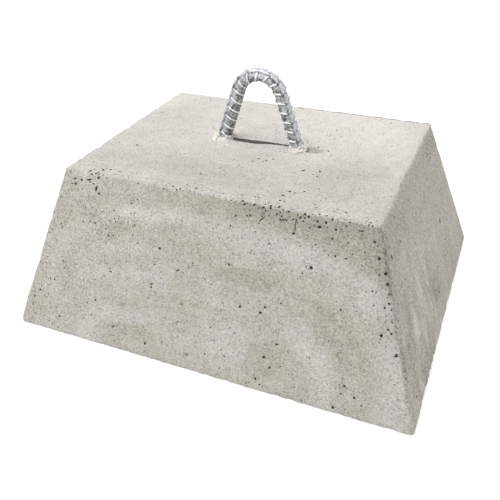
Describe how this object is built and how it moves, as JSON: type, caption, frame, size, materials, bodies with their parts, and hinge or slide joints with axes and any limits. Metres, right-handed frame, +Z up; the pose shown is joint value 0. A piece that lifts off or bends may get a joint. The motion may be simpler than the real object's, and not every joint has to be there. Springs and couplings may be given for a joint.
{
  "type": "precast concrete ballast block",
  "caption": "Concrete ballast block shaped as a truncated pyramid, with a lifting loop of ribbed bar cast into its flat top and a light reinforcing mat inside.",
  "frame": {"origin": "centre of the base face, on the ground", "axes": "+X along the base's long side, +Y along its short side towards the loop's setback, +Z up"},
  "size_m": [0.4, 0.327, 0.23],
  "materials": {
    "concrete": "matt",
    "galvanised_bar": "dull galvanised",
    "mat_steel": "as rolled",
    "tie_wire": "annealed",
    "spacer_mortar": "matt"
  },
  "bodies": {
    "root": {"concrete_block": "concrete", "lifting_loop": "galvanised_bar", "mat_long_bar_front": "mat_steel", "mat_long_bar_rear": "mat_steel", "mat_cross_bar_left_end": "mat_steel", "mat_cross_bar_left": "mat_steel", "mat_cross_bar_right": "mat_steel", "mat_cross_bar_right_end": "mat_steel", "tie_wire_left_end_front": "tie_wire", "tie_wire_left_end_rear": "tie_wire", "tie_wire_left_front": "tie_wire", "tie_wire_left_rear": "tie_wire", "tie_wire_right_front": "tie_wire", "tie_wire_right_rear": "tie_wire", "tie_wire_right_end_front": "tie_wire", "tie_wire_right_end_rear": "tie_wire", "loop_tie_left": "tie_wire", "loop_tie_right": "tie_wire", "cover_spacer_left_front": "spacer_mortar", "cover_spacer_left_rear": "spacer_mortar", "cover_spacer_right_front": "spacer_mortar", "cover_spacer_right_rear": "spacer_mortar"}
  },
  "joints": []
}
